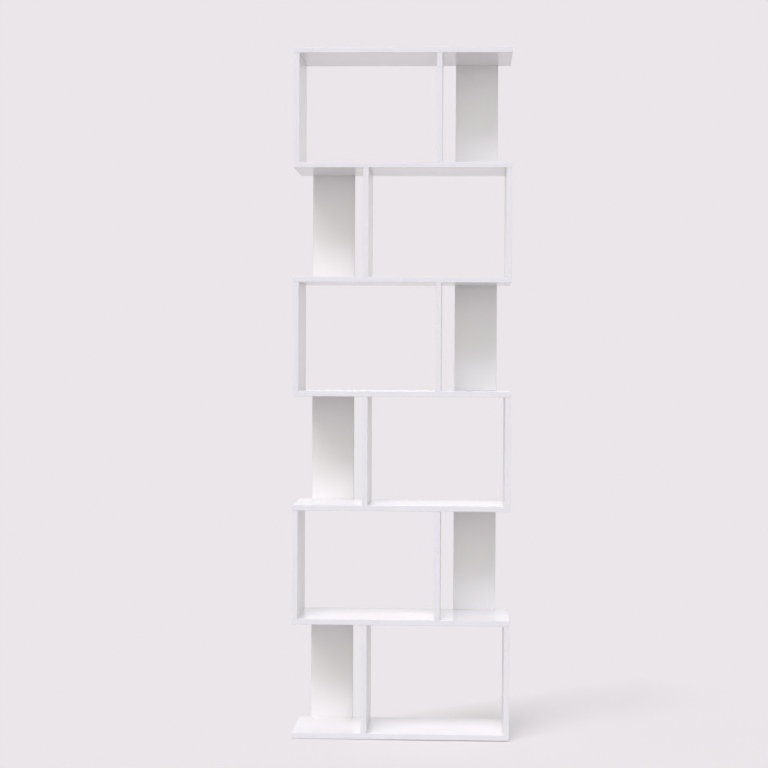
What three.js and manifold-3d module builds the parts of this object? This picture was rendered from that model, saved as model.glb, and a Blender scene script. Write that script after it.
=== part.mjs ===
// Zigzag bookcase of white laminated boards: six tiers of one wide and one narrow cell, turned about in every tier
import * as THREE from 'three';
import { mergeVertices } from 'three/addons/utils/BufferGeometryUtils.js';
import Module from 'manifold-3d';

const wasm = await Module();
wasm.setup();

// Driving dimensions in millimetres. X runs to the right, Y to the back and Z up from the floor
const bookcaseWidth = 600;
const bookcaseDepth = 240;
const cellHeight = 300; // clear height between two shelves
const narrowCellWidth = 192; // clear width from the open end to the divider
const backPanelWidth = 120;
const shelfThickness = 15;
const sidePanelThickness = 15;
const dividerThickness = 15;
const backPanelThickness = 15;
const tierCount = 6;

// Wooden dowels, glued into the ends of the upright boards
const dowelDiameter = 8;
const dowelInset = 40; // from a deep board's front and back edges to the dowels
const backDowelInset = 25; // from a back panel's side edges to the dowels
const dowelHoleFloor = 4.5; // board left over a dowel hole
const dowelEndGap = 0.5; // free depth past a dowel's end
const dowelSides = 6;

// Connecting screws, one through a shelf into each end of a side panel or divider
const screwLength = 50;
const screwHeadDiameter = 10;
const screwHeadRim = 1;
const screwHeadCone = 2.5;
const screwNeckDiameter = 7;
const screwThreadDiameter = 6.4;
const screwPointDiameter = 3;
const screwPointLength = 4;
const socketAcrossFlats = 4;
const socketDepth = 2.5;
const capRecessDiameter = 12; // a flush cover cap lies in it, over the screw's head
const capRecessDepth = 1;
const screwSides = 8;

// Floor glides, each a plastic disc on a nail
const glideDiameter = 20;
const glideHeight = 3; // from the floor to the bottom board
const glideEdge = 0.8; // chamfer round the foot
const glideInset = 22; // from the bottom board's edges to a glide's middle
const nailDiameter = 2;
const nailHoleFloor = 3; // board left over a nail hole
const nailPoint = 2;
const glideSides = 12;

// Fits
const joinGap = 0.1; // between two boards that meet, and between a glide and its board
const holeGap = 0.3; // round a dowel, a screw or a nail in its hole
const overrun = 1; // that a cutter runs past a face, or a dowel into its board

const boardColour = 0xf6f6f8;
const screwColour = 0xb9bcc0;
const glideColour = 0xe9e9ea;

const shelfPitch = cellHeight + shelfThickness;
const neckEnd = shelfThickness + joinGap / 2 - holeGap; // the neck fills the shelf under the head
const dowelReach = shelfThickness - dowelHoleFloor - dowelEndGap;
const nailLength = shelfThickness - nailHoleFloor - dowelEndGap;

function boardMaterial() {
  return new THREE.MeshStandardMaterial({ color: boardColour, roughness: 0.45, metalness: 0 });
}

function screwMaterial() {
  return new THREE.MeshStandardMaterial({ color: screwColour, roughness: 0.35, metalness: 1 });
}

function glideMaterial() {
  return new THREE.MeshStandardMaterial({ color: glideColour, roughness: 0.5, metalness: 0 });
}

// A closed geometry as a solid that can be cut and joined
function solidOf(geometry) {
  geometry.deleteAttribute('normal');
  geometry.deleteAttribute('uv');
  const merged = mergeVertices(geometry);
  return new wasm.Manifold(new wasm.Mesh({
    numProp: 3,
    vertProperties: merged.getAttribute('position').array,
    triVerts: new Uint32Array(merged.getIndex().array),
  }));
}

function geometryOf(solid) {
  const mesh = solid.getMesh();
  const geometry = new THREE.BufferGeometry();
  geometry.setAttribute('position', new THREE.BufferAttribute(mesh.vertProperties, 3));
  geometry.setIndex(new THREE.BufferAttribute(mesh.triVerts, 1));
  geometry.computeVertexNormals();
  return geometry;
}

function namedMesh(name, solid, material) {
  const mesh = new THREE.Mesh(geometryOf(solid), material);
  mesh.name = name;
  return mesh;
}

function boardSolid(width, depth, height) {
  return solidOf(new THREE.BoxGeometry(width, depth, height));
}

// An upright round bar between two heights
function barSolid(place, low, high, radius, sides) {
  const bar = new THREE.CylinderGeometry(radius, radius, high - low, sides);
  bar.rotateX(Math.PI / 2);
  bar.translate(place.x, place.y, (low + high) / 2);
  return solidOf(bar);
}

// A solid turned about the Z axis from a profile of [radius, height] points, lowest first
function turnedGeometry(profile, sides) {
  const points = profile.map(([radius, height]) => new THREE.Vector2(radius, height));
  const turned = new THREE.LatheGeometry(points, sides);
  turned.rotateX(Math.PI / 2);
  return turned;
}

// Where the screw or its hole lies under a shelf's face at height 0, tip first, with spare room all round
function shankProfile(spare) {
  const neckRadius = screwNeckDiameter / 2 + spare;
  const threadRadius = screwThreadDiameter / 2 + spare;
  const headRadius = screwHeadDiameter / 2 + spare;
  const tip = -capRecessDepth - screwLength;
  return [
    [0, tip - spare],
    [screwPointDiameter / 2 + spare, tip - spare],
    [threadRadius, tip + screwPointLength - spare],
    [threadRadius, -neckEnd - spare],
    [neckRadius, -neckEnd - spare],
    [neckRadius, -capRecessDepth - screwHeadRim - screwHeadCone - spare],
    [headRadius, -capRecessDepth - screwHeadRim - spare],
    [headRadius, -capRecessDepth],
  ];
}

// The cutter of a screw's hole, entering a shelf from above, or from below when turned over
function screwHole(place, face, fromBelow) {
  const recessRadius = capRecessDiameter / 2;
  const hole = turnedGeometry([
    ...shankProfile(holeGap),
    [recessRadius, -capRecessDepth],
    [recessRadius, overrun],
    [0, overrun],
  ], screwSides);
  hole.rotateX(fromBelow ? Math.PI : 0);
  hole.translate(place.x, place.y, face);
  return solidOf(hole);
}

function screwSolid() {
  const body = solidOf(turnedGeometry([...shankProfile(0), [0, -capRecessDepth]], screwSides));
  const socketRadius = socketAcrossFlats / 2 / Math.cos(Math.PI / 6);
  const top = -capRecessDepth;
  const socket = barSolid({ x: 0, y: 0 }, top - socketDepth, top + overrun, socketRadius, 6);
  return body.subtract(socket);
}

// The three uprights of a tier, by the place of their middles, their footprint and what joins their ends.
// Odd tiers have the narrow cell's open end at the left, and even tiers at the right
function tierUprights(tier) {
  const outward = tier % 2 === 1 ? -1 : 1;
  const openEnd = outward * bookcaseWidth / 2;
  const deepDowels = [-1, 1].map((end) => ({ x: 0, y: end * (bookcaseDepth / 2 - dowelInset) }));
  const backDowels = [-1, 1].map((end) => ({ x: end * (backPanelWidth / 2 - backDowelInset), y: 0 }));
  const middle = [{ x: 0, y: 0 }];
  return [
    {
      name: `side_panel_${tier}`,
      x: -openEnd + outward * sidePanelThickness / 2,
      y: 0,
      width: sidePanelThickness,
      depth: bookcaseDepth,
      dowels: deepDowels,
      screws: middle,
    },
    {
      name: `divider_${tier}`,
      x: openEnd - outward * (narrowCellWidth + dividerThickness / 2),
      y: 0,
      width: dividerThickness,
      depth: bookcaseDepth,
      dowels: deepDowels,
      screws: middle,
    },
    {
      name: `back_panel_${tier}`,
      x: openEnd - outward * narrowCellWidth / 2,
      y: (bookcaseDepth - backPanelThickness) / 2,
      width: backPanelWidth,
      depth: backPanelThickness,
      dowels: backDowels,
      screws: [],
    },
  ];
}

// An upright about its own middle: a board, its dowels and the screw holes in its ends
function uprightSolid(upright) {
  const height = cellHeight - 2 * joinGap;
  const face = cellHeight / 2 + shelfThickness;
  let solid = boardSolid(upright.width, upright.depth, height);
  for (const place of upright.dowels) {
    const end = cellHeight / 2 + dowelReach;
    const root = height / 2 - overrun;
    solid = solid.add(barSolid(place, root, end, dowelDiameter / 2, dowelSides));
    solid = solid.add(barSolid(place, -end, -root, dowelDiameter / 2, dowelSides));
  }
  for (const place of upright.screws) {
    solid = solid.subtract(screwHole(place, face, false));
    solid = solid.subtract(screwHole(place, -face, true));
  }
  return solid;
}

function placesOn(upright, places) {
  return places.map((place) => ({ x: upright.x + place.x, y: upright.y + place.y }));
}

// A shelf about its own middle, drilled for the uprights that stand under it and on it
function shelfSolid(uprightsBelow, uprightsAbove) {
  const face = shelfThickness / 2;
  const holeRadius = dowelDiameter / 2 + holeGap;
  const holeEnd = face - dowelHoleFloor;
  let solid = boardSolid(bookcaseWidth, bookcaseDepth, shelfThickness);
  for (const upright of uprightsBelow) {
    for (const place of placesOn(upright, upright.dowels)) {
      solid = solid.subtract(barSolid(place, -face - overrun, holeEnd, holeRadius, dowelSides));
    }
    for (const place of placesOn(upright, upright.screws)) {
      solid = solid.subtract(screwHole(place, face, false));
    }
  }
  for (const upright of uprightsAbove) {
    for (const place of placesOn(upright, upright.dowels)) {
      solid = solid.subtract(barSolid(place, -holeEnd, face + overrun, holeRadius, dowelSides));
    }
    for (const place of placesOn(upright, upright.screws)) {
      solid = solid.subtract(screwHole(place, -face, true));
    }
  }
  return solid;
}

function glidePlaces() {
  const side = bookcaseWidth / 2 - glideInset;
  const end = bookcaseDepth / 2 - glideInset;
  return [
    { name: 'glide_front_left', x: -side, y: -end },
    { name: 'glide_front_right', x: side, y: -end },
    { name: 'glide_back_left', x: -side, y: end },
    { name: 'glide_back_right', x: side, y: end },
  ];
}

// The bottom board is a shelf with nail holes for the glides in its underside
function bottomBoardSolid() {
  const face = shelfThickness / 2;
  let solid = shelfSolid([], tierUprights(1));
  for (const place of glidePlaces()) {
    const hole = barSolid(place, -face - overrun, face - nailHoleFloor, nailDiameter / 2 + holeGap, dowelSides);
    solid = solid.subtract(hole);
  }
  return solid;
}

// A glide standing on the floor at height 0
function glideSolid() {
  const discTop = glideHeight - joinGap;
  const nailTop = glideHeight + nailLength;
  return solidOf(turnedGeometry([
    [0, 0],
    [glideDiameter / 2 - glideEdge, 0],
    [glideDiameter / 2, glideEdge],
    [glideDiameter / 2, discTop],
    [nailDiameter / 2, discTop],
    [nailDiameter / 2, nailTop - nailPoint],
    [0, nailTop],
  ], glideSides));
}

// Shelves are counted from 0 at the floor, and a tier stands on the shelf numbered one less
function shelfMiddle(shelf) {
  return glideHeight + shelfThickness / 2 + shelf * shelfPitch;
}

function shelfName(shelf) {
  if (shelf === 0) {
    return 'bottom_board';
  }
  return shelf === tierCount ? 'top_board' : `shelf_${shelf}`;
}

function addShelves(bookcase) {
  for (let shelf = 0; shelf <= tierCount; shelf += 1) {
    const below = shelf > 0 ? tierUprights(shelf) : [];
    const above = shelf < tierCount ? tierUprights(shelf + 1) : [];
    const solid = shelf === 0 ? bottomBoardSolid() : shelfSolid(below, above);
    const board = namedMesh(shelfName(shelf), solid, boardMaterial());
    board.position.z = shelfMiddle(shelf);
    bookcase.add(board);
  }
}

function addTier(bookcase, tier) {
  const group = new THREE.Group();
  group.position.z = shelfMiddle(tier - 1) + shelfPitch / 2;
  for (const upright of tierUprights(tier)) {
    const board = namedMesh(upright.name, uprightSolid(upright), boardMaterial());
    board.position.set(upright.x, upright.y, 0);
    group.add(board);
    for (const place of placesOn(upright, upright.screws)) {
      addScrew(group, `screw_${upright.name}_top`, place, cellHeight / 2 + shelfThickness, false);
      addScrew(group, `screw_${upright.name}_bottom`, place, -cellHeight / 2 - shelfThickness, true);
    }
  }
  bookcase.add(group);
}

function addScrew(group, name, place, face, fromBelow) {
  const screw = namedMesh(name, screwSolid(), screwMaterial());
  screw.position.set(place.x, place.y, face);
  screw.rotation.x = fromBelow ? Math.PI : 0;
  group.add(screw);
}

function addGlides(bookcase) {
  for (const place of glidePlaces()) {
    const glide = namedMesh(place.name, glideSolid(), glideMaterial());
    glide.position.set(place.x, place.y, 0);
    bookcase.add(glide);
  }
}

const bookcase = new THREE.Group();
addShelves(bookcase);
for (let tier = 1; tier <= tierCount; tier += 1) {
  addTier(bookcase, tier);
}
addGlides(bookcase);

export default bookcase;
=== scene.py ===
import math

import bpy
import numpy as np
from mathutils import Matrix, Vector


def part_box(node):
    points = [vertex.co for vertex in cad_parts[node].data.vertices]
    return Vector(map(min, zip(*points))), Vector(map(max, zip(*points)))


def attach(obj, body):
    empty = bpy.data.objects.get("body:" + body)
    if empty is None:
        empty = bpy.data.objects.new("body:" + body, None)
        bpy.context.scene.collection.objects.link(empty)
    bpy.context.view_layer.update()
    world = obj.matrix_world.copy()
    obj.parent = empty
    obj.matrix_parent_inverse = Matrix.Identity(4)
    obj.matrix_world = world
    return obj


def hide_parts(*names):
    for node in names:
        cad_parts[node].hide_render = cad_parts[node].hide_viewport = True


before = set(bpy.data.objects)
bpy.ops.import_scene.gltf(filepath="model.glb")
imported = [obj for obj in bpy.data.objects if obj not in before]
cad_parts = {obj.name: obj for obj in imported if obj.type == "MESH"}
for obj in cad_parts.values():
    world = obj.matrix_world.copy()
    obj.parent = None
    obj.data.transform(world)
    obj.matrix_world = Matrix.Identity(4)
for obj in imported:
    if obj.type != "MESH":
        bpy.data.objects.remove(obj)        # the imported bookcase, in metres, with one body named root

scene = bpy.context.scene
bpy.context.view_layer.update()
print("Frame loaded:", len(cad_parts), "nodes")

mm = 0.001  # sizes below are in millimetres times this

# Node tree helpers

def newMaterial(name, colour, roughness=0.5, metallic=0.0):
    material = bpy.data.materials.new(name)
    material.use_nodes = True
    shader = material.node_tree.nodes["Principled BSDF"]
    shader.inputs["Base Color"].default_value = (*colour, 1)
    shader.inputs["Roughness"].default_value = roughness
    shader.inputs["Metallic"].default_value = metallic
    return material, material.node_tree, shader


def objectPlace(tree, stretch=(1, 1, 1)):
    # Object coordinates, each axis multiplied by its stretch
    place = tree.nodes.new("ShaderNodeTexCoord")
    mapping = tree.nodes.new("ShaderNodeMapping")
    mapping.inputs["Scale"].default_value = stretch
    tree.links.new(place.outputs["Object"], mapping.inputs["Vector"])
    return mapping.outputs["Vector"]


def noiseOf(tree, place, scale, detail=2.0, rough=0.5):
    node = tree.nodes.new("ShaderNodeTexNoise")
    node.inputs["Scale"].default_value = scale
    node.inputs["Detail"].default_value = detail
    node.inputs["Roughness"].default_value = rough
    tree.links.new(place, node.inputs["Vector"])
    return node.outputs["Fac"]


def rangeOf(tree, value, low, high, newLow, newHigh):
    # a straight map of low..high onto newLow..newHigh, held at its ends
    node = tree.nodes.new("ShaderNodeMapRange")
    for socket, number in zip(("From Min", "From Max", "To Min", "To Max"), (low, high, newLow, newHigh)):
        node.inputs[socket].default_value = number
    tree.links.new(value, node.inputs["Value"])
    return node.outputs["Result"]


def satinOf(tree, noise, roughness, low=0.3, high=0.7):
    # a roughness that goes from its first value to its second where the noise goes from low to high
    return rangeOf(tree, noise, low, high, *roughness)


def mixOf(tree, share, first, second):
    # first where the share is 0, second where it is 1. Each is a colour or a socket
    node = tree.nodes.new("ShaderNodeMix")
    node.data_type = "RGBA"
    for socket, value in ((node.inputs[6], first), (node.inputs[7], second)):
        if isinstance(value, tuple):
            socket.default_value = (*value, 1)
        else:
            tree.links.new(value, socket)
    tree.links.new(share, node.inputs["Factor"])
    return node.outputs[2]


def twoTone(tree, noise, first, second, low=0.35, high=0.65):
    # a colour that goes from first to second where the noise goes from low to high
    return mixOf(tree, rangeOf(tree, noise, low, high, 0, 1), first, second)


def mathOf(tree, operation, first, second):
    # the second is a number or a socket
    node = tree.nodes.new("ShaderNodeMath")
    node.operation = operation
    tree.links.new(first, node.inputs[0])
    if isinstance(second, (int, float)):
        node.inputs[1].default_value = second
    else:
        tree.links.new(second, node.inputs[1])
    return node.outputs[0]


def bumpOf(tree, height, distance, before=None):
    node = tree.nodes.new("ShaderNodeBump")
    node.inputs["Strength"].default_value = 1.0
    node.inputs["Distance"].default_value = distance
    tree.links.new(height, node.inputs["Height"])
    if before is not None:
        tree.links.new(before, node.inputs["Normal"])
    return node.outputs["Normal"]


# Materials

laminate = {
    "bright": (0.926, 0.916, 0.898),
    "dim": (0.908, 0.898, 0.881),
    "shelfRoughness": (0.16, 0.18),
    "uprightRoughness": (0.29, 0.31),
    "toneScale": 7,
    "satinScale": 5,
    "pearlScale": 1300,  # pearls of about three quarters of a millimetre
    "pearlHeight": 0.002 * mm,
    "waveScale": 55,  # the slow unevenness that a pressed face has
    "waveHeight": 0.015 * mm,
}


def laminateMaterial(name, roughness):
    # melamine face: two near whites, a fine pearl in relief and a roughness that drifts slowly
    material, tree, shader = newMaterial(name, laminate["bright"])
    place = objectPlace(tree)
    tone = twoTone(tree, noiseOf(tree, place, laminate["toneScale"], 3), laminate["bright"], laminate["dim"])
    tree.links.new(tone, shader.inputs["Base Color"])
    satin = satinOf(tree, noiseOf(tree, place, laminate["satinScale"], 1), roughness)
    tree.links.new(satin, shader.inputs["Roughness"])
    wave = bumpOf(tree, noiseOf(tree, place, laminate["waveScale"], 1), laminate["waveHeight"])
    pearl = bumpOf(tree, noiseOf(tree, place, laminate["pearlScale"], 1), laminate["pearlHeight"], wave)
    tree.links.new(pearl, shader.inputs["Normal"])
    return material


edgeBand = {
    # painted shade: the band's whites are darker than the laminate's, which dims the front edges that face the lamps
    "bright": (0.841, 0.835, 0.825),
    "dim": (0.825, 0.820, 0.810),
    "roughness": (0.27, 0.29),
    "toneScale": 16,
    "satinScale": 9,
    "rippleScale": 420,  # scraper marks across the band, a few millimetres apart
    "rippleHeight": 0.012 * mm,
    "shelfStretch": (1, 1, 0.02),  # draws the marks out across a level band
    "uprightStretch": (0.02, 0.02, 1),
}


def edgeBandMaterial(name, stretch):
    # glued plastic band: a cooler white of its own, kept darker than the faces as painted shade that tones down the
    # lit front edges, with faint ripples across the direction that it runs in
    material, tree, shader = newMaterial(name, edgeBand["bright"])
    place = objectPlace(tree)
    tone = twoTone(tree, noiseOf(tree, place, edgeBand["toneScale"], 3), edgeBand["bright"], edgeBand["dim"])
    tree.links.new(tone, shader.inputs["Base Color"])
    satin = satinOf(tree, noiseOf(tree, place, edgeBand["satinScale"], 1), edgeBand["roughness"])
    tree.links.new(satin, shader.inputs["Roughness"])
    ripple = noiseOf(tree, objectPlace(tree, stretch), edgeBand["rippleScale"], 1)
    tree.links.new(bumpOf(tree, ripple, edgeBand["rippleHeight"]), shader.inputs["Normal"])
    return material


# painted shade: the seam's dark grey stands partly for the shade in its groove, partly for glue
seamGlueAndShade = {"bright": (0.62, 0.61, 0.60), "dim": (0.50, 0.49, 0.48), "toneScale": 120}


def seamGlueAndShadeMaterial():
    # the hairline between a face and its band: its dark grey is partly glue and partly painted shade in the seam's
    # groove, a little darker where more glue shows
    material, tree, shader = newMaterial("seamGlueAndShade", seamGlueAndShade["bright"])
    drift = noiseOf(tree, objectPlace(tree), seamGlueAndShade["toneScale"])
    tone = twoTone(tree, drift, seamGlueAndShade["bright"], seamGlueAndShade["dim"])
    tree.links.new(tone, shader.inputs["Base Color"])
    return material


chipboard = {
    "straw": (0.62, 0.45, 0.26),
    "husk": (0.36, 0.23, 0.12),
    "dust": (0.74, 0.60, 0.40),
    "roughness": 0.85,
    "chipScale": 420,
    "flatness": 2.2,  # how many times as wide as thick a chip is
    "huskFrom": 0.55,  # of the chips' random numbers, above which they turn to husk and to dust
    "dustFrom": 0.6,
    "grainScale": 900,
    "grainHeight": 0.12 * mm,
}


def chipboardMaterial():
    # sawn chipboard: flat chips from cells squeezed in height, of straw, husk and dust
    material, tree, shader = newMaterial("chipboardCore", chipboard["straw"], chipboard["roughness"])
    place = objectPlace(tree, (1, 1, chipboard["flatness"]))
    chips = tree.nodes.new("ShaderNodeTexVoronoi")
    chips.inputs["Scale"].default_value = chipboard["chipScale"]
    tree.links.new(place, chips.inputs["Vector"])
    kinds = tree.nodes.new("ShaderNodeSeparateColor")
    tree.links.new(chips.outputs["Color"], kinds.inputs["Color"])
    husk = twoTone(tree, kinds.outputs["Red"], chipboard["straw"], chipboard["husk"], chipboard["huskFrom"], 1)
    dust = twoTone(tree, kinds.outputs["Green"], husk, chipboard["dust"], chipboard["dustFrom"], 1)
    tree.links.new(dust, shader.inputs["Base Color"])
    grain = noiseOf(tree, place, chipboard["grainScale"], 4, 0.7)
    tree.links.new(bumpOf(tree, grain, chipboard["grainHeight"]), shader.inputs["Normal"])
    return material


beech = {
    "pale": (0.70, 0.50, 0.32),
    "ray": (0.50, 0.32, 0.18),
    "roughness": (0.55, 0.75),
    "grainScale": 1800,
    "grainStretch": (1, 1, 0.05),  # draws the grain out along an upright dowel
    "grainHeight": 0.04 * mm,
}


def beechMaterial():
    # dowel wood: fine flecks drawn out along the upright grain
    material, tree, shader = newMaterial("beechWood", beech["pale"])
    grain = noiseOf(tree, objectPlace(tree, beech["grainStretch"]), beech["grainScale"], 3, 0.6)
    tree.links.new(twoTone(tree, grain, beech["pale"], beech["ray"], 0.4, 0.7), shader.inputs["Base Color"])
    tree.links.new(satinOf(tree, grain, beech["roughness"]), shader.inputs["Roughness"])
    tree.links.new(bumpOf(tree, grain, beech["grainHeight"]), shader.inputs["Normal"])
    return material


zinc = {
    "light": (0.74, 0.75, 0.77),
    "dull": (0.58, 0.60, 0.64),
    "roughness": (0.24, 0.42),
    "bloomScale": 260,
    "pitScale": 3200,
    "pitHeight": 0.01 * mm,
}


def zincMaterial():
    # bright zinc plating with a cloudy bloom and fine pitting
    material, tree, shader = newMaterial("zincPlated", zinc["light"], metallic=1.0)
    place = objectPlace(tree)
    bloom = noiseOf(tree, place, zinc["bloomScale"], 4, 0.6)
    tree.links.new(twoTone(tree, bloom, zinc["light"], zinc["dull"], 0.35, 0.7), shader.inputs["Base Color"])
    tree.links.new(satinOf(tree, bloom, zinc["roughness"]), shader.inputs["Roughness"])
    pits = noiseOf(tree, place, zinc["pitScale"])
    tree.links.new(bumpOf(tree, pits, zinc["pitHeight"]), shader.inputs["Normal"])
    return material


plastic = {
    "bright": (0.915, 0.905, 0.888),
    "dim": (0.90, 0.89, 0.873),
    "roughness": (0.20, 0.24),
    "flowScale": 130,
    "sparkScale": 2600,
    "sparkHeight": 0.008 * mm,
}


def plasticMaterial():
    # moulded plastic: a faint flow mottle and a fine spark texture in relief
    material, tree, shader = newMaterial("whitePlastic", plastic["bright"])
    place = objectPlace(tree)
    flow = noiseOf(tree, place, plastic["flowScale"], 3)
    tree.links.new(twoTone(tree, flow, plastic["bright"], plastic["dim"]), shader.inputs["Base Color"])
    tree.links.new(satinOf(tree, flow, plastic["roughness"]), shader.inputs["Roughness"])
    spark = noiseOf(tree, place, plastic["sparkScale"], 1)
    tree.links.new(bumpOf(tree, spark, plastic["sparkHeight"]), shader.inputs["Normal"])
    return material


shelfFace = laminateMaterial("shelfLaminate", laminate["shelfRoughness"])
uprightFace = laminateMaterial("uprightLaminate", laminate["uprightRoughness"])
shelfBand = edgeBandMaterial("shelfEdgeBand", edgeBand["shelfStretch"])
uprightBand = edgeBandMaterial("uprightEdgeBand", edgeBand["uprightStretch"])
seamGlueAndShadeFace = seamGlueAndShadeMaterial()
core = chipboardMaterial()
dowelWood = beechMaterial()
zincPlated = zincMaterial()
whitePlastic = plasticMaterial()
print("Materials made:", len(bpy.data.materials))

# Surfaces

def gridSurface(points, finish, endFinish):
    # A closed surface: rows of points one above another, each a loop, and a flat end on the first and last row.
    # finish holds a material number for each face between two rows, endFinish one for each end
    rows, columns = points.shape[:2]
    row, column = np.meshgrid(np.arange(rows - 1), np.arange(columns), indexing="ij")
    near = row * columns + column
    far = row * columns + (column + 1) % columns
    sides = np.stack([near, far, far + columns, near + columns], -1).reshape(-1, 4)
    lastRow = (rows - 1) * columns + np.arange(columns)
    faces = sides.tolist() + [np.arange(columns)[::-1].tolist(), lastRow.tolist()]
    shape = np.broadcast_to(finish, (rows - 1, columns)).ravel().tolist()
    return points.reshape(-1, 3), faces, shape + list(endFinish)


def joined(surfaces):
    # several closed surfaces as one list of points, faces and finishes
    points, faces, finishes, start = [], [], [], 0
    for surface in surfaces:
        points.append(surface[0])
        faces += [[corner + start for corner in face] for face in surface[1]]
        finishes += surface[2]
        start += len(surface[0])
    return np.concatenate(points), faces, finishes


def newPiece(name, surface, materials, creaseDegrees=30):
    points, faces, finishes = surface
    mesh = bpy.data.meshes.new(name)
    mesh.from_pydata(points.tolist(), [], faces)
    for material in materials:
        mesh.materials.append(material)
    mesh.polygons.foreach_set("material_index", np.array(finishes, np.int32))
    piece = bpy.data.objects.new(name, mesh)
    scene.collection.objects.link(piece)
    shadeSmooth(mesh, creaseDegrees)
    return piece


def shadeSmooth(mesh, creaseDegrees=30):
    mesh.polygons.foreach_set("use_smooth", np.ones(len(mesh.polygons), bool))
    mesh.set_sharp_from_angle(angle=math.radians(creaseDegrees))
    mesh.update()


def turned(profile, columns, centre, upward=1, flat=None):
    # A profile of (radius, height) carried round an upright axis through centre. upward -1 turns it upside down,
    # and flat gives for each row the share by which its loop is drawn in to a hexagon
    radius, height = np.array(profile, float).T
    angle = np.arange(columns) * 2 * math.pi / columns
    hexagon = math.cos(math.pi / 6) / np.cos((angle + math.pi / 6) % (math.pi / 3) - math.pi / 6)
    share = np.zeros(len(radius)) if flat is None else np.array(flat, float)
    reach = radius[:, None] * (1 - share[:, None] + share[:, None] * hexagon)
    x = centre[0] + reach * np.cos(angle)
    y = centre[1] + reach * np.sin(angle) * upward
    z = centre[2] + np.broadcast_to(height[:, None] * upward, x.shape)
    return np.stack([x, y, z], -1)


def dress(piece, slotName, *nodes):
    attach(piece, "root")
    if nodes:
        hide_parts(*nodes)
    return piece


# Where the boards meet

joint = {
    "gap": 0.1 * mm,  # between an upright's end and a shelf
    "dowelInset": 40 * mm,  # from a deep upright's front and back edges
    "backDowelInset": 25 * mm,  # from a back panel's side edges
    "dowelInShelf": 10 * mm,
    "dowelInUpright": 20 * mm,
    "dowelHoleSpare": 0.6 * mm,  # free depth past a dowel
    "dowelHoleRadius": 4.1 * mm,
    "dowelHoleColumns": 20,
    "screwHoleColumns": 32,
    "overrun": 1 * mm,  # of a cutter past a face
}
tiers = range(1, 7)
shelves = ["bottom_board"] + [f"shelf_{number}" for number in range(1, 6)] + ["top_board"]
uprightKinds = ("side_panel", "divider", "back_panel")


def middleOf(node):
    low, high = (np.array(corner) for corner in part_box(node))
    return (low + high) / 2


def dowelPlaces(node):
    # two places across the longer side of an upright's footprint
    low, high = (np.array(corner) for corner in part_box(node))
    middle, half = (low + high) / 2, (high - low) / 2
    if half[1] > half[0]:
        reach = half[1] - joint["dowelInset"]
        return [(middle[0], middle[1] - reach), (middle[0], middle[1] + reach)]
    reach = half[0] - joint["backDowelInset"]
    return [(middle[0] - reach, middle[1]), (middle[0] + reach, middle[1])]


def screwPlaces(node):
    middle = middleOf(node)
    return [] if "back" in node else [(middle[0], middle[1])]


def uprightEnds(tier):
    # the heights between which a tier's uprights stand
    below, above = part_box(shelves[tier - 1])[1].z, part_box(shelves[tier])[0].z
    return below + joint["gap"], above - joint["gap"]


screw = {
    "length": 50 * mm,
    "headRadius": 5 * mm,
    "headRim": 1 * mm,
    "headCone": 2.5 * mm,
    "neckRadius": 3.5 * mm,
    "neckEnd": 14.7 * mm,  # under the shelf's face
    "threadRadius": 3.2 * mm,
    "coreRadius": 2.3 * mm,
    "pitch": 3 * mm,
    "threadRows": 7,  # rows of points to each turn
    "pointLength": 4 * mm,
    "pointRadius": 1.5 * mm,
    "socketRadius": 2.31 * mm,
    "socketDepth": 2.5 * mm,
    "socketChamfer": 0.2 * mm,
    "drillShare": 0.3,  # the flat middle that the drill left in the socket's floor, as a share of the socket
    "drillDepth": 0.4 * mm,  # how much deeper that middle lies
    "headChamfer": 0.15 * mm,
    "crestHalf": 0.15,  # half the width of the thread's crest and of its foot, in pitches
    "footHalf": 0.4,
    "columns": 24,
    "crease": 35,  # degrees, above which an edge is shaded sharp
    "recess": 1 * mm,  # of the head under the shelf's face
    "holeSpare": 0.3 * mm,
}
cap = {
    "radius": 5.85 * mm,
    "recessRadius": 6 * mm,
    "thickness": 0.9 * mm,
    "rim": 0.25 * mm,
    "rimSteps": 4,
    "dome": 0.05 * mm,
    "sunk": 0.02 * mm,  # of the cap's middle under the shelf's face
    "domeRows": 7,
    "domeMiddle": 0.05,  # the flat middle of the dome, as a share of it
    "pinRadius": 1.95 * mm,
    "pinLength": 1.8 * mm,
    "pinTip": 0.8,  # the pin's tip, as a share of the pin
    "pinChamfer": 0.3 * mm,
    "columns": 48,
}


def dowelHole(place, low, high):
    # a plain cylinder between two heights
    profile = [(joint["dowelHoleRadius"], low), (joint["dowelHoleRadius"], high)]
    points = turned(profile, joint["dowelHoleColumns"], (*place, 0))
    return gridSurface(points, holeFinish, (holeFinish, holeFinish))


def screwHole(place, face, upward):
    # the stepped hole of a screw whose head lies at a face. upward is 1 for a screw driven down, -1 for one driven up
    spare = screw["holeSpare"]
    tip = screw["recess"] + screw["length"] + spare
    headEnd = screw["recess"] + screw["headRim"] + spare
    profile = [
        (screw["threadRadius"] + spare, -tip),
        (screw["threadRadius"] + spare, -screw["neckEnd"] - spare),
        (screw["neckRadius"] + spare, -screw["neckEnd"] - spare),
        (screw["neckRadius"] + spare, -headEnd - screw["headCone"]),
        (screw["headRadius"] + spare, -headEnd),
        (screw["headRadius"] + spare, -screw["recess"]),
        (cap["recessRadius"], -screw["recess"]),
        (cap["recessRadius"], joint["overrun"]),
    ]
    points = turned(profile, joint["screwHoleColumns"], (*place, face), upward)
    return gridSurface(points, holeFinish, (holeFinish, holeFinish))


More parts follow.
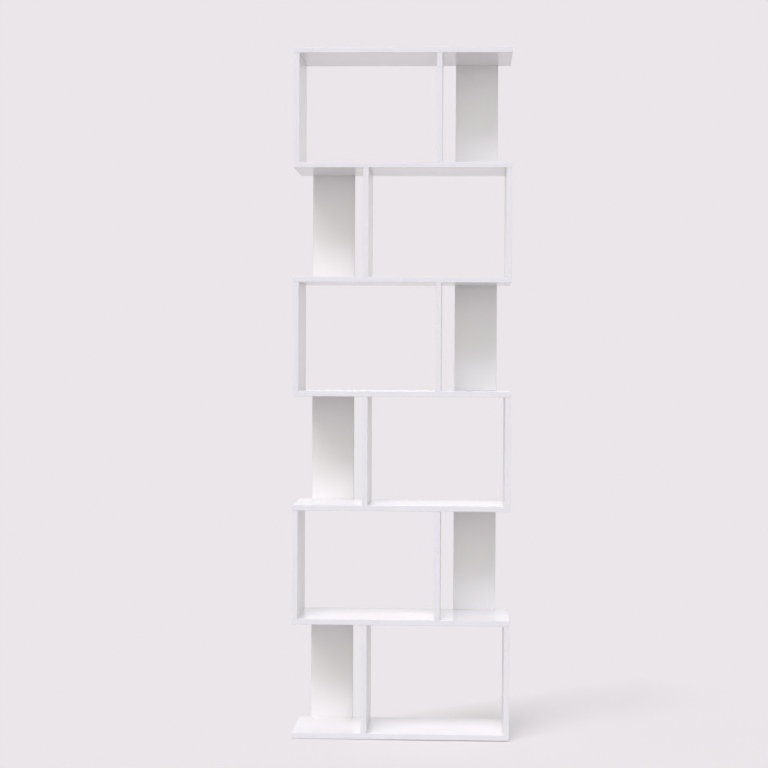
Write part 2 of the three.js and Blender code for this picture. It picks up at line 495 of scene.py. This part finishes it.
def drill(piece, holes):
    # cuts the holes out of a board and keeps the result as its mesh
    if not holes:
        return
    cutter = newPiece("holes", joined(holes), piece.data.materials[:])
    modifier = piece.modifiers.new("holes", "BOOLEAN")
    modifier.operation = "DIFFERENCE"
    modifier.solver = "EXACT"
    modifier.object = cutter
    drilled = piece.evaluated_get(bpy.context.evaluated_depsgraph_get())
    mesh = bpy.data.meshes.new_from_object(drilled)
    piece.modifiers.remove(modifier)
    bpy.data.objects.remove(cutter)
    mesh.name = piece.name
    piece.data = mesh
    shadeSmooth(mesh)


# Boards

board = {
    "bandThickness": 1 * mm,
    "arrisRadius": 0.7 * mm,
    "arrisSteps": 4,
    "support": 0.4 * mm,  # of a band's flat part beside its arris, which keeps its shading flat
    "seamWidth": 0.10 * mm,
    "seamDepth": 0.06 * mm,
    "cornerRadius": 1.3 * mm,
    "cornerSteps": 4,
}
faceFinish, bandFinish, seamFinish, holeFinish = range(4)


def edgeProfile(half):
    # From a face's seam over one arris, across the edge and over the other arris to the other face's seam:
    # pairs of the distance in from the edge and the height, each arris a quarter circle
    radius, band = board["arrisRadius"], board["bandThickness"]
    turn = np.linspace(0, math.pi / 2, board["arrisSteps"] + 1)
    inward = np.concatenate([
        [band + board["seamWidth"], band + board["seamWidth"] / 2, band],
        radius * (1 - np.sin(turn)),
        [0],
    ])
    height = np.concatenate([
        [-half, -half + board["seamDepth"], -half],
        -half + radius * (1 - np.cos(turn)),
        [-half + radius + board["support"]],
    ])
    return np.concatenate([inward, inward[::-1]]), np.concatenate([height, -height[::-1]])


def profileFinish(count):
    # the faces between the points of an edge profile: two of seam at each end, the rest band
    finish = np.full(count - 1, bandFinish)
    finish[[0, 1, -2, -1]] = seamFinish
    return finish


def shelfSurface(low, high):
    # The edge profile carried round a rectangle whose corners are quarter circles, and a flat face on each end.
    # Each quarter circle has one more column on the straight at either side, which keeps the edges' shading flat
    half, middle = (high - low) / 2, (low + high) / 2
    inward, height = edgeProfile(half[2])
    quarter = np.linspace(0, math.pi / 2, board["cornerSteps"] + 1)
    quarter = np.concatenate([[0], quarter, [math.pi / 2]])
    lead = np.zeros((len(quarter), 2))
    lead[0], lead[-1] = (0, -board["support"]), (-board["support"], 0)
    start = np.arange(4)[:, None] * math.pi / 2
    angle = (start + quarter).ravel()
    cos, sin = np.cos(start), np.sin(start)
    leadX = (cos * lead[:, 0] - sin * lead[:, 1]).ravel()
    leadY = (sin * lead[:, 0] + cos * lead[:, 1]).ravel()
    side = np.repeat(np.array([[1, 1], [-1, 1], [-1, -1], [1, -1]]), len(quarter), axis=0)
    corner = side * (half[:2] - board["cornerRadius"])
    reach = board["cornerRadius"] - inward[:, None]
    x = middle[0] + corner[:, 0] + leadX + reach * np.cos(angle)
    y = middle[1] + corner[:, 1] + leadY + reach * np.sin(angle)
    z = middle[2] + np.broadcast_to(height[:, None], x.shape)
    return gridSurface(np.stack([x, y, z], -1), profileFinish(len(height))[:, None], (faceFinish, faceFinish))


def uprightSurface(low, high):
    # The outline of a board banded on its two narrow sides, carried straight up, with a sawn end at both ends
    half, middle = (high - low) / 2, (low + high) / 2
    deep = half[1] > half[0]
    inward, across = edgeProfile(min(half[:2]))
    along = max(half[:2]) - inward
    outline = np.concatenate([np.stack([along, across], -1), -np.stack([along, across], -1)])
    if deep:
        outline = np.stack([-outline[:, 1], outline[:, 0]], -1)
    finish = np.concatenate([profileFinish(len(inward)), [faceFinish]])
    levels = np.array([-half[2], half[2]])
    x, z = np.meshgrid(outline[:, 0], levels)
    y = np.broadcast_to(outline[:, 1], x.shape)
    points = np.stack([x, y, z], -1) + middle
    return gridSurface(points, np.tile(finish, 2)[None], (holeFinish, holeFinish))


def shelfHoles(number):
    low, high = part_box(shelves[number])
    past = joint["overrun"]
    depth = joint["dowelInShelf"] + joint["dowelHoleSpare"]
    holes = []
    for kind in uprightKinds:
        if number > 0:  # what stands under this shelf
            node = f"{kind}_{number}"
            holes += [dowelHole(place, low.z - past, low.z + depth) for place in dowelPlaces(node)]
            holes += [screwHole(place, high.z, 1) for place in screwPlaces(node)]
        if number < len(tiers):  # what stands on it
            node = f"{kind}_{number + 1}"
            holes += [dowelHole(place, high.z - depth, high.z + past) for place in dowelPlaces(node)]
            holes += [screwHole(place, low.z, -1) for place in screwPlaces(node)]
    return holes


def uprightHoles(node, tier):
    bottom, top = uprightEnds(tier)
    past = joint["overrun"]
    depth = joint["dowelInUpright"] + joint["dowelHoleSpare"]
    holes = []
    for place in dowelPlaces(node):
        holes.append(dowelHole(place, bottom - past, bottom + depth))
        holes.append(dowelHole(place, top - depth, top + past))
    for place in screwPlaces(node):
        holes.append(screwHole(place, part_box(shelves[tier])[1].z, 1))
        holes.append(screwHole(place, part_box(shelves[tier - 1])[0].z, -1))
    return holes


glide = {
    "radius": 10 * mm,
    "height": 2.9 * mm,
    "footMiddle": 0.2,  # the innermost ring of the foot, as a share of its radius
    "footChamfer": 0.8 * mm,
    "topRound": 0.5 * mm,
    "roundSteps": 4,
    "nailRadius": 1 * mm,
    "nailLength": 11.6 * mm,
    "nailPoint": 2 * mm,
    "nailTip": 0.1 * mm,
    "nailHoleSpare": 0.3 * mm,
    "nailHoleColumns": 16,
    "columns": 48,
}
glides = [f"glide_{end}_{side}" for end in ("front", "back") for side in ("left", "right")]


def nailHole(node):
    # a plain cylinder from under the bottom board to just past the nail's end
    middle, top = middleOf(node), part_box(node)[1].z
    radius = glide["nailRadius"] + glide["nailHoleSpare"]
    profile = [(radius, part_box("bottom_board")[0].z - joint["overrun"]), (radius, top + glide["nailHoleSpare"])]
    points = turned(profile, glide["nailHoleColumns"], (middle[0], middle[1], 0))
    return gridSurface(points, holeFinish, (holeFinish, holeFinish))


def makeShelves():
    materials = [shelfFace, shelfBand, seamGlueAndShadeFace, core]
    for number, node in enumerate(shelves):
        low, high = (np.array(corner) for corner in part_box(node))
        piece = newPiece(f"laminated_{node}", shelfSurface(low, high), materials)
        nails = [nailHole(foot) for foot in glides] if number == 0 else []
        drill(piece, shelfHoles(number) + nails)
        dress(piece, "white_board", node)


def makeUprights():
    materials = [uprightFace, uprightBand, seamGlueAndShadeFace, core]
    for tier in tiers:
        bottom, top = uprightEnds(tier)
        for kind in uprightKinds:
            node = f"{kind}_{tier}"
            low, high = (np.array(corner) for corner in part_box(node))
            low[2], high[2] = bottom, top
            piece = newPiece(f"laminated_{node}", uprightSurface(low, high), materials)
            drill(piece, uprightHoles(node, tier))
            dress(piece, "white_board", node)


makeShelves()
makeUprights()
print("Boards made:", len(shelves) + len(tiers) * len(uprightKinds))

# Dowels

dowel = {
    "radius": 4 * mm,
    "flutes": 10,
    "fluteDepth": 0.35 * mm,
    "chamfer": 0.8 * mm,
    "columns": 40,
    "crease": 40,  # degrees, above which an edge is shaded sharp
}


def dowelSurface(place, low, high):
    # A round bar with chamfered ends, its radius let in by a fluted cosine on all but the chamfers
    radius, chamfer = dowel["radius"], dowel["chamfer"]
    rows = [(radius - chamfer, low), (radius, low + chamfer), (radius, high - chamfer), (radius - chamfer, high)]
    points = turned(rows, dowel["columns"], (*place, 0))
    angle = np.arange(dowel["columns"]) * 2 * math.pi / dowel["columns"]
    letIn = dowel["fluteDepth"] * (0.5 - 0.5 * np.cos(dowel["flutes"] * angle)) / radius
    points[1:3, :, :2] -= (points[1:3, :, :2] - np.array(place)) * letIn[:, None]
    return gridSurface(points, 0, (0, 0))


def makeDowels():
    # each upright's four dowels, two in each end
    for tier in tiers:
        bottom, top = uprightEnds(tier)
        inShelf = joint["dowelInShelf"] + joint["gap"]
        for kind in uprightKinds:
            node = f"{kind}_{tier}"
            bars = []
            for place in dowelPlaces(node):
                bars.append(dowelSurface(place, bottom - inShelf, bottom + joint["dowelInUpright"]))
                bars.append(dowelSurface(place, top - joint["dowelInUpright"], top + inShelf))
            piece = newPiece(f"dowels_{node}", joined(bars), [dowelWood], dowel["crease"])
            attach(piece, "root")


makeDowels()
print("Dowels made:", 4 * len(tiers) * len(uprightKinds))

# Screws and their cover caps

def screwSurface(centre, upward):
    # A profile of (radius, height, hexagon share) from the tip to the socket's floor, turned round its axis.
    # On the threaded rows the radius follows a flat-topped ridge that climbs one pitch in each turn and runs out
    # over a pitch at each end
    head, recess = screw["headRadius"], screw["recess"]
    tip, neck = recess + screw["length"], screw["neckEnd"]
    threadEnd = tip - screw["pointLength"]
    turns = (threadEnd - neck) / screw["pitch"]
    levels = np.linspace(-threadEnd, -neck, int(turns * screw["threadRows"]) + 1)
    socketTop, socketFloor = -recess, -recess - screw["socketDepth"]
    before = [(screw["pointRadius"], -tip, 0)]
    thread = [(screw["threadRadius"], level, 0) for level in levels]
    after = [
        (screw["neckRadius"], -neck, 0),
        (screw["neckRadius"], -recess - screw["headRim"] - screw["headCone"], 0),
        (head, -recess - screw["headRim"], 0),
        (head, socketTop - screw["headChamfer"], 0),
        (head - screw["headChamfer"], socketTop, 0),
        (screw["socketRadius"] + screw["socketChamfer"], socketTop, 1),
        (screw["socketRadius"], socketTop - screw["socketChamfer"], 1),
        (screw["socketRadius"], socketFloor, 1),
        (screw["socketRadius"] * screw["drillShare"], socketFloor - screw["drillDepth"], 1),
    ]
    rows = np.array(before + thread + after)
    points = turned(rows[:, :2], screw["columns"], centre, upward, rows[:, 2])
    angle = np.arange(screw["columns"]) * 2 * math.pi / screw["columns"]
    climb = (levels[:, None] / screw["pitch"] - angle / (2 * math.pi)) % 1
    slope = screw["footHalf"] - screw["crestHalf"]
    ridge = np.clip((screw["footHalf"] - np.abs(climb - 0.5)) / slope, 0, 1)
    runOut = np.clip((-neck - levels) / screw["pitch"], 0, 1) * np.clip((levels + threadEnd) / screw["pitch"], 0, 1)
    threadHeight = screw["threadRadius"] - screw["coreRadius"]
    share = (screw["coreRadius"] + threadHeight * ridge * runOut[:, None]) / screw["threadRadius"]
    axis = np.array(centre[:2])
    part = slice(len(before), len(before) + len(thread))
    points[part, :, :2] = axis + (points[part, :, :2] - axis) * share[:, :, None]
    return gridSurface(points, 0, (0, 0))


def capSurface(centre, upward):
    # A disc with a rounded rim and a faint dome, and under it a hexagonal pin that sits in the screw's socket
    radius, rim, dome = cap["radius"], cap["rim"], cap["dome"]
    top = -cap["sunk"] - dome
    under = top - cap["thickness"]
    turn = np.linspace(0, math.pi / 2, cap["rimSteps"] + 1)
    rows = [
        (cap["pinRadius"] * cap["pinTip"], under - cap["pinLength"], 1),
        (cap["pinRadius"], under - cap["pinLength"] + cap["pinChamfer"], 1),
        (cap["pinRadius"], under, 1),
        (radius, under, 0),
    ]
    rows += list(zip(radius - rim * (1 - np.cos(turn)), top - rim * (1 - np.sin(turn)), np.zeros(len(turn))))
    inner = (radius - rim) * np.linspace(1 - cap["domeMiddle"], cap["domeMiddle"], cap["domeRows"])
    rows += list(zip(inner, top + dome * (1 - (inner / radius) ** 2), np.zeros(len(inner))))
    rows = np.array(rows)
    points = turned(rows[:, :2], cap["columns"], centre, upward, rows[:, 2])
    return gridSurface(points, 0, (0, 0))


def makeScrews():
    for tier in tiers:
        topFace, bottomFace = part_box(shelves[tier])[1].z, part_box(shelves[tier - 1])[0].z
        for kind in ("side_panel", "divider"):
            place = screwPlaces(f"{kind}_{tier}")[0]
            for end, face, upward in (("top", topFace, 1), ("bottom", bottomFace, -1)):
                name = f"{kind}_{tier}_{end}"
                centre = (*place, face)
                surface = screwSurface(centre, upward)
                piece = newPiece(f"threaded_screw_{name}", surface, [zincPlated], screw["crease"])
                dress(piece, "zinc_screw", f"screw_{name}")
                cover = newPiece(f"cover_cap_{name}", capSurface(centre, upward), [whitePlastic])
                dress(cover, "white_plastic")


makeScrews()
print("Screws and caps made:", 4 * len(tiers))

# Floor glides

def glideSurface(middle, top):
    # Lathe profile from the foot's middle over the chamfered edge and the rounded top to the nail's point
    radius, height = glide["radius"], glide["height"]
    turn = np.linspace(0, math.pi / 2, glide["roundSteps"] + 1)
    profile = [
        (radius * glide["footMiddle"], 0), (radius - glide["footChamfer"], 0), (radius, glide["footChamfer"]),
        *zip(radius - glide["topRound"] * (1 - np.cos(turn)), height - glide["topRound"] * (1 - np.sin(turn))),
        (glide["nailRadius"], height), (glide["nailRadius"], top - glide["nailPoint"]), (glide["nailTip"], top),
    ]
    finish = np.zeros(len(profile) - 1, int)
    finish[-2:] = 1
    points = turned(profile, glide["columns"], (middle[0], middle[1], 0))
    return gridSurface(points, finish[:, None], (0, 1))


def makeGlides():
    for node in glides:
        surface = glideSurface(middleOf(node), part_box(node)[1].z)
        piece = newPiece(f"moulded_{node}", surface, [whitePlastic, zincPlated])
        dress(piece, "white_plastic", node)


makeGlides()
print("Glides made:", len(glides))

# Floor and backdrop

studio = {
    "backdrop": (0.823, 0.791, 0.815),  # pale grey with a breath of pink
    "floor": (0.901, 0.880, 0.836),  # in this light it looks just like the backdrop
    "floorBounce": (0.52, 0.51, 0.515),  # what it gives back to the bookcase
    "floorRoughness": 0.9,
    "floorRadius": 40.0,
    "floorColumns": 64,
    "fadeFrom": 0.5,  # metres from the bookcase, where the floor starts to turn into the backdrop; that glow also fades the shadow out further away, as painted light
    "fadeTo": 1.25,
    "shadowShare": 0.58,  # of the floor's own light and shadow beside the bookcase; the rest is a painted glow in the backdrop's colour, which lightens the shadow
    "shadowWay": (-0.9, 1.0, 0.0),  # towards the back and the left the painted glow grows until it hides the shadow
    "shadowFrom": -0.15,  # metres along that way
    "shadowTo": 0.30,
    "ambient": 0.05,  # the even part of the soft light, on the patches' scale of levels
    "softColour": (1.0, 0.985, 0.955),  # of the even part and the patches, a little warm
}
# Wide patches of light just above the horizon. A level of 1 lights a white face that is turned to the patch to plain
# white, and a higher power draws the patch in
patches = {
    "front": {"azimuth": 0, "elevation": 10, "level": 0.35, "power": 8},
    "back": {"azimuth": 180, "elevation": 8, "level": 0.34, "power": 8},
    "left": {"azimuth": -90, "elevation": 10, "level": 0.2, "power": 4},
    "right": {"azimuth": 90, "elevation": 10, "level": 0.28, "power": 4},
}


def sharpRay(tree):
    # 1 for what the camera, a gloss or a glass sees, and 0 for diffuse light
    ray = tree.nodes.new("ShaderNodeLightPath")
    total = ray.outputs["Is Camera Ray"]
    for other in ("Is Glossy Ray", "Is Transmission Ray"):
        total = mathOf(tree, "MAXIMUM", total, ray.outputs[other])
    return total


def floorMaterial():
    # a pale diffuse floor that keeps the bookcase's shadow. For the camera it is mixed with a painted glow in the
    # backdrop's colour, which lightens that shadow:
    # the glow's share is the larger of one that grows with the distance and one that grows towards the back and the
    # left, where it hides the shadow
    material, tree, shader = newMaterial("studioFloor", studio["floor"], studio["floorRoughness"])
    shader.inputs["Specular IOR Level"].default_value = 0.0
    sharp = sharpRay(tree)
    tree.links.new(mixOf(tree, sharp, studio["floorBounce"], studio["floor"]), shader.inputs["Base Color"])
    place = objectPlace(tree)
    distance = tree.nodes.new("ShaderNodeVectorMath")
    distance.operation = "LENGTH"
    tree.links.new(place, distance.inputs[0])
    far = rangeOf(tree, distance.outputs["Value"], studio["fadeFrom"], studio["fadeTo"], 0, 1)
    along = tree.nodes.new("ShaderNodeVectorMath")
    along.operation = "DOT_PRODUCT"
    along.inputs[1].default_value = studio["shadowWay"]
    tree.links.new(place, along.inputs[0])
    # painted glow: its share grows towards the back and the left until it covers the bookcase's shadow
    share = 1 - studio["shadowShare"]
    glowOverShadow = rangeOf(tree, along.outputs["Value"], studio["shadowFrom"], studio["shadowTo"], share, 1)
    larger = mathOf(tree, "MAXIMUM", far, glowOverShadow)
    glow = tree.nodes.new("ShaderNodeEmission")
    glow.inputs["Color"].default_value = (*studio["backdrop"], 1)
    mix = tree.nodes.new("ShaderNodeMixShader")
    tree.links.new(mathOf(tree, "MULTIPLY", larger, sharp), mix.inputs["Fac"])
    tree.links.new(shader.outputs["BSDF"], mix.inputs[1])
    tree.links.new(glow.outputs["Emission"], mix.inputs[2])
    tree.links.new(mix.outputs[0], tree.nodes["Material Output"].inputs["Surface"])
    return material


def makeFloor():
    # a disc at the glides' feet
    columns = studio["floorColumns"]
    angle = np.arange(columns) * 2 * math.pi / columns
    points = studio["floorRadius"] * np.stack([np.cos(angle), np.sin(angle), np.zeros(columns)], -1)
    mesh = bpy.data.meshes.new("studioFloor")
    mesh.from_pydata(points.tolist(), [], [list(range(columns))])
    mesh.materials.append(floorMaterial())
    floor = bpy.data.objects.new("studioFloor", mesh)
    scene.collection.objects.link(floor)


def patchLight(tree, direction, patch):
    # the cosine between a direction and the middle of the patch, to a power, so that the patch fades out softly.
    # Azimuth 0 is in front of the bookcase and grows to its right, elevation is above the floor
    azimuth, elevation = math.radians(patch["azimuth"]), math.radians(patch["elevation"])
    across = math.cos(elevation)
    middle = (math.sin(azimuth) * across, -math.cos(azimuth) * across, math.sin(elevation))
    cosine = tree.nodes.new("ShaderNodeVectorMath")
    cosine.operation = "DOT_PRODUCT"
    cosine.inputs[1].default_value = middle
    tree.links.new(direction, cosine.inputs[0])
    fade = mathOf(tree, "POWER", mathOf(tree, "MAXIMUM", cosine.outputs["Value"], 0), patch["power"])
    peak = patch["level"] * (patch["power"] + 2) / 2  # makes up for the light that a higher power takes away
    return mathOf(tree, "MULTIPLY", fade, peak)


def makeWorld():
    # soft light from an even part and the patches. What sees the world directly gets the backdrop's colour instead
    world = bpy.data.worlds.new("studio")
    scene.world = world
    world.use_nodes = True
    tree = world.node_tree
    direction = objectPlace(tree)
    strength = studio["ambient"]
    for patch in patches.values():
        strength = mathOf(tree, "ADD", patchLight(tree, direction, patch), strength)
    ambient = tree.nodes["Background"]
    ambient.inputs["Color"].default_value = (*studio["softColour"], 1)
    tree.links.new(strength, ambient.inputs["Strength"])
    backdrop = tree.nodes.new("ShaderNodeBackground")
    backdrop.inputs["Color"].default_value = (*studio["backdrop"], 1)
    mix = tree.nodes.new("ShaderNodeMixShader")
    tree.links.new(sharpRay(tree), mix.inputs["Fac"])
    tree.links.new(ambient.outputs[0], mix.inputs[1])
    tree.links.new(backdrop.outputs[0], mix.inputs[2])
    tree.links.new(mix.outputs[0], tree.nodes["World Output"].inputs["Surface"])


makeFloor()
makeWorld()

# Lamps: wide, far softboxes, as suns of a large angle

lamps = {
    "key": {"azimuth": 0, "elevation": 52, "width": 30, "level": 0.455, "colour": (0.74, 0.74, 1.0)},
    "side": {"azimuth": -30, "elevation": 52, "width": 30, "level": 0.34, "colour": (1.0, 0.96, 0.91)},
    "rear": {"azimuth": 180, "elevation": 30, "width": 60, "level": 0.044, "colour": (1.0, 1.0, 1.0)},
}


def makeLamp(name, lamp):
    # azimuth, elevation and level are as for the patches
    azimuth, elevation = math.radians(lamp["azimuth"]), math.radians(lamp["elevation"])
    light = bpy.data.lights.new(name, "SUN")
    light.energy = math.pi * lamp["level"]
    light.color = lamp["colour"]
    light.angle = math.radians(lamp["width"])
    holder = bpy.data.objects.new(name, light)
    holder.rotation_euler = (math.pi / 2 - elevation, 0, azimuth)
    scene.collection.objects.link(holder)


for lampName, lamp in lamps.items():
    makeLamp(lampName, lamp)
print("Studio made")

# Camera: a little to the right of the bookcase, turned back towards it and tilted down by less than a degree

camera = {
    "place": (0.1718, -5.2362, 1.0543),
    "turnLeft": 0.0430,  # radians
    "tiltUp": -0.0139,
    "roll": 0.0048,
    "lens": 87.27,  # millimetres, on a sensor of this width
    "sensorWidth": 36,
    "clipEnd": 60,
}


def makeCamera():
    data = bpy.data.cameras.new("camera")
    data.lens = camera["lens"]
    data.sensor_width = camera["sensorWidth"]
    data.clip_end = camera["clipEnd"]
    holder = bpy.data.objects.new("camera", data)
    turn = Matrix.Rotation(camera["turnLeft"], 4, "Z") @ Matrix.Rotation(math.pi / 2 + camera["tiltUp"], 4, "X")
    holder.matrix_world = Matrix.Translation(camera["place"]) @ turn @ Matrix.Rotation(camera["roll"], 4, "Z")
    scene.collection.objects.link(holder)
    scene.camera = holder


makeCamera()
scene.view_settings.view_transform = "Standard"
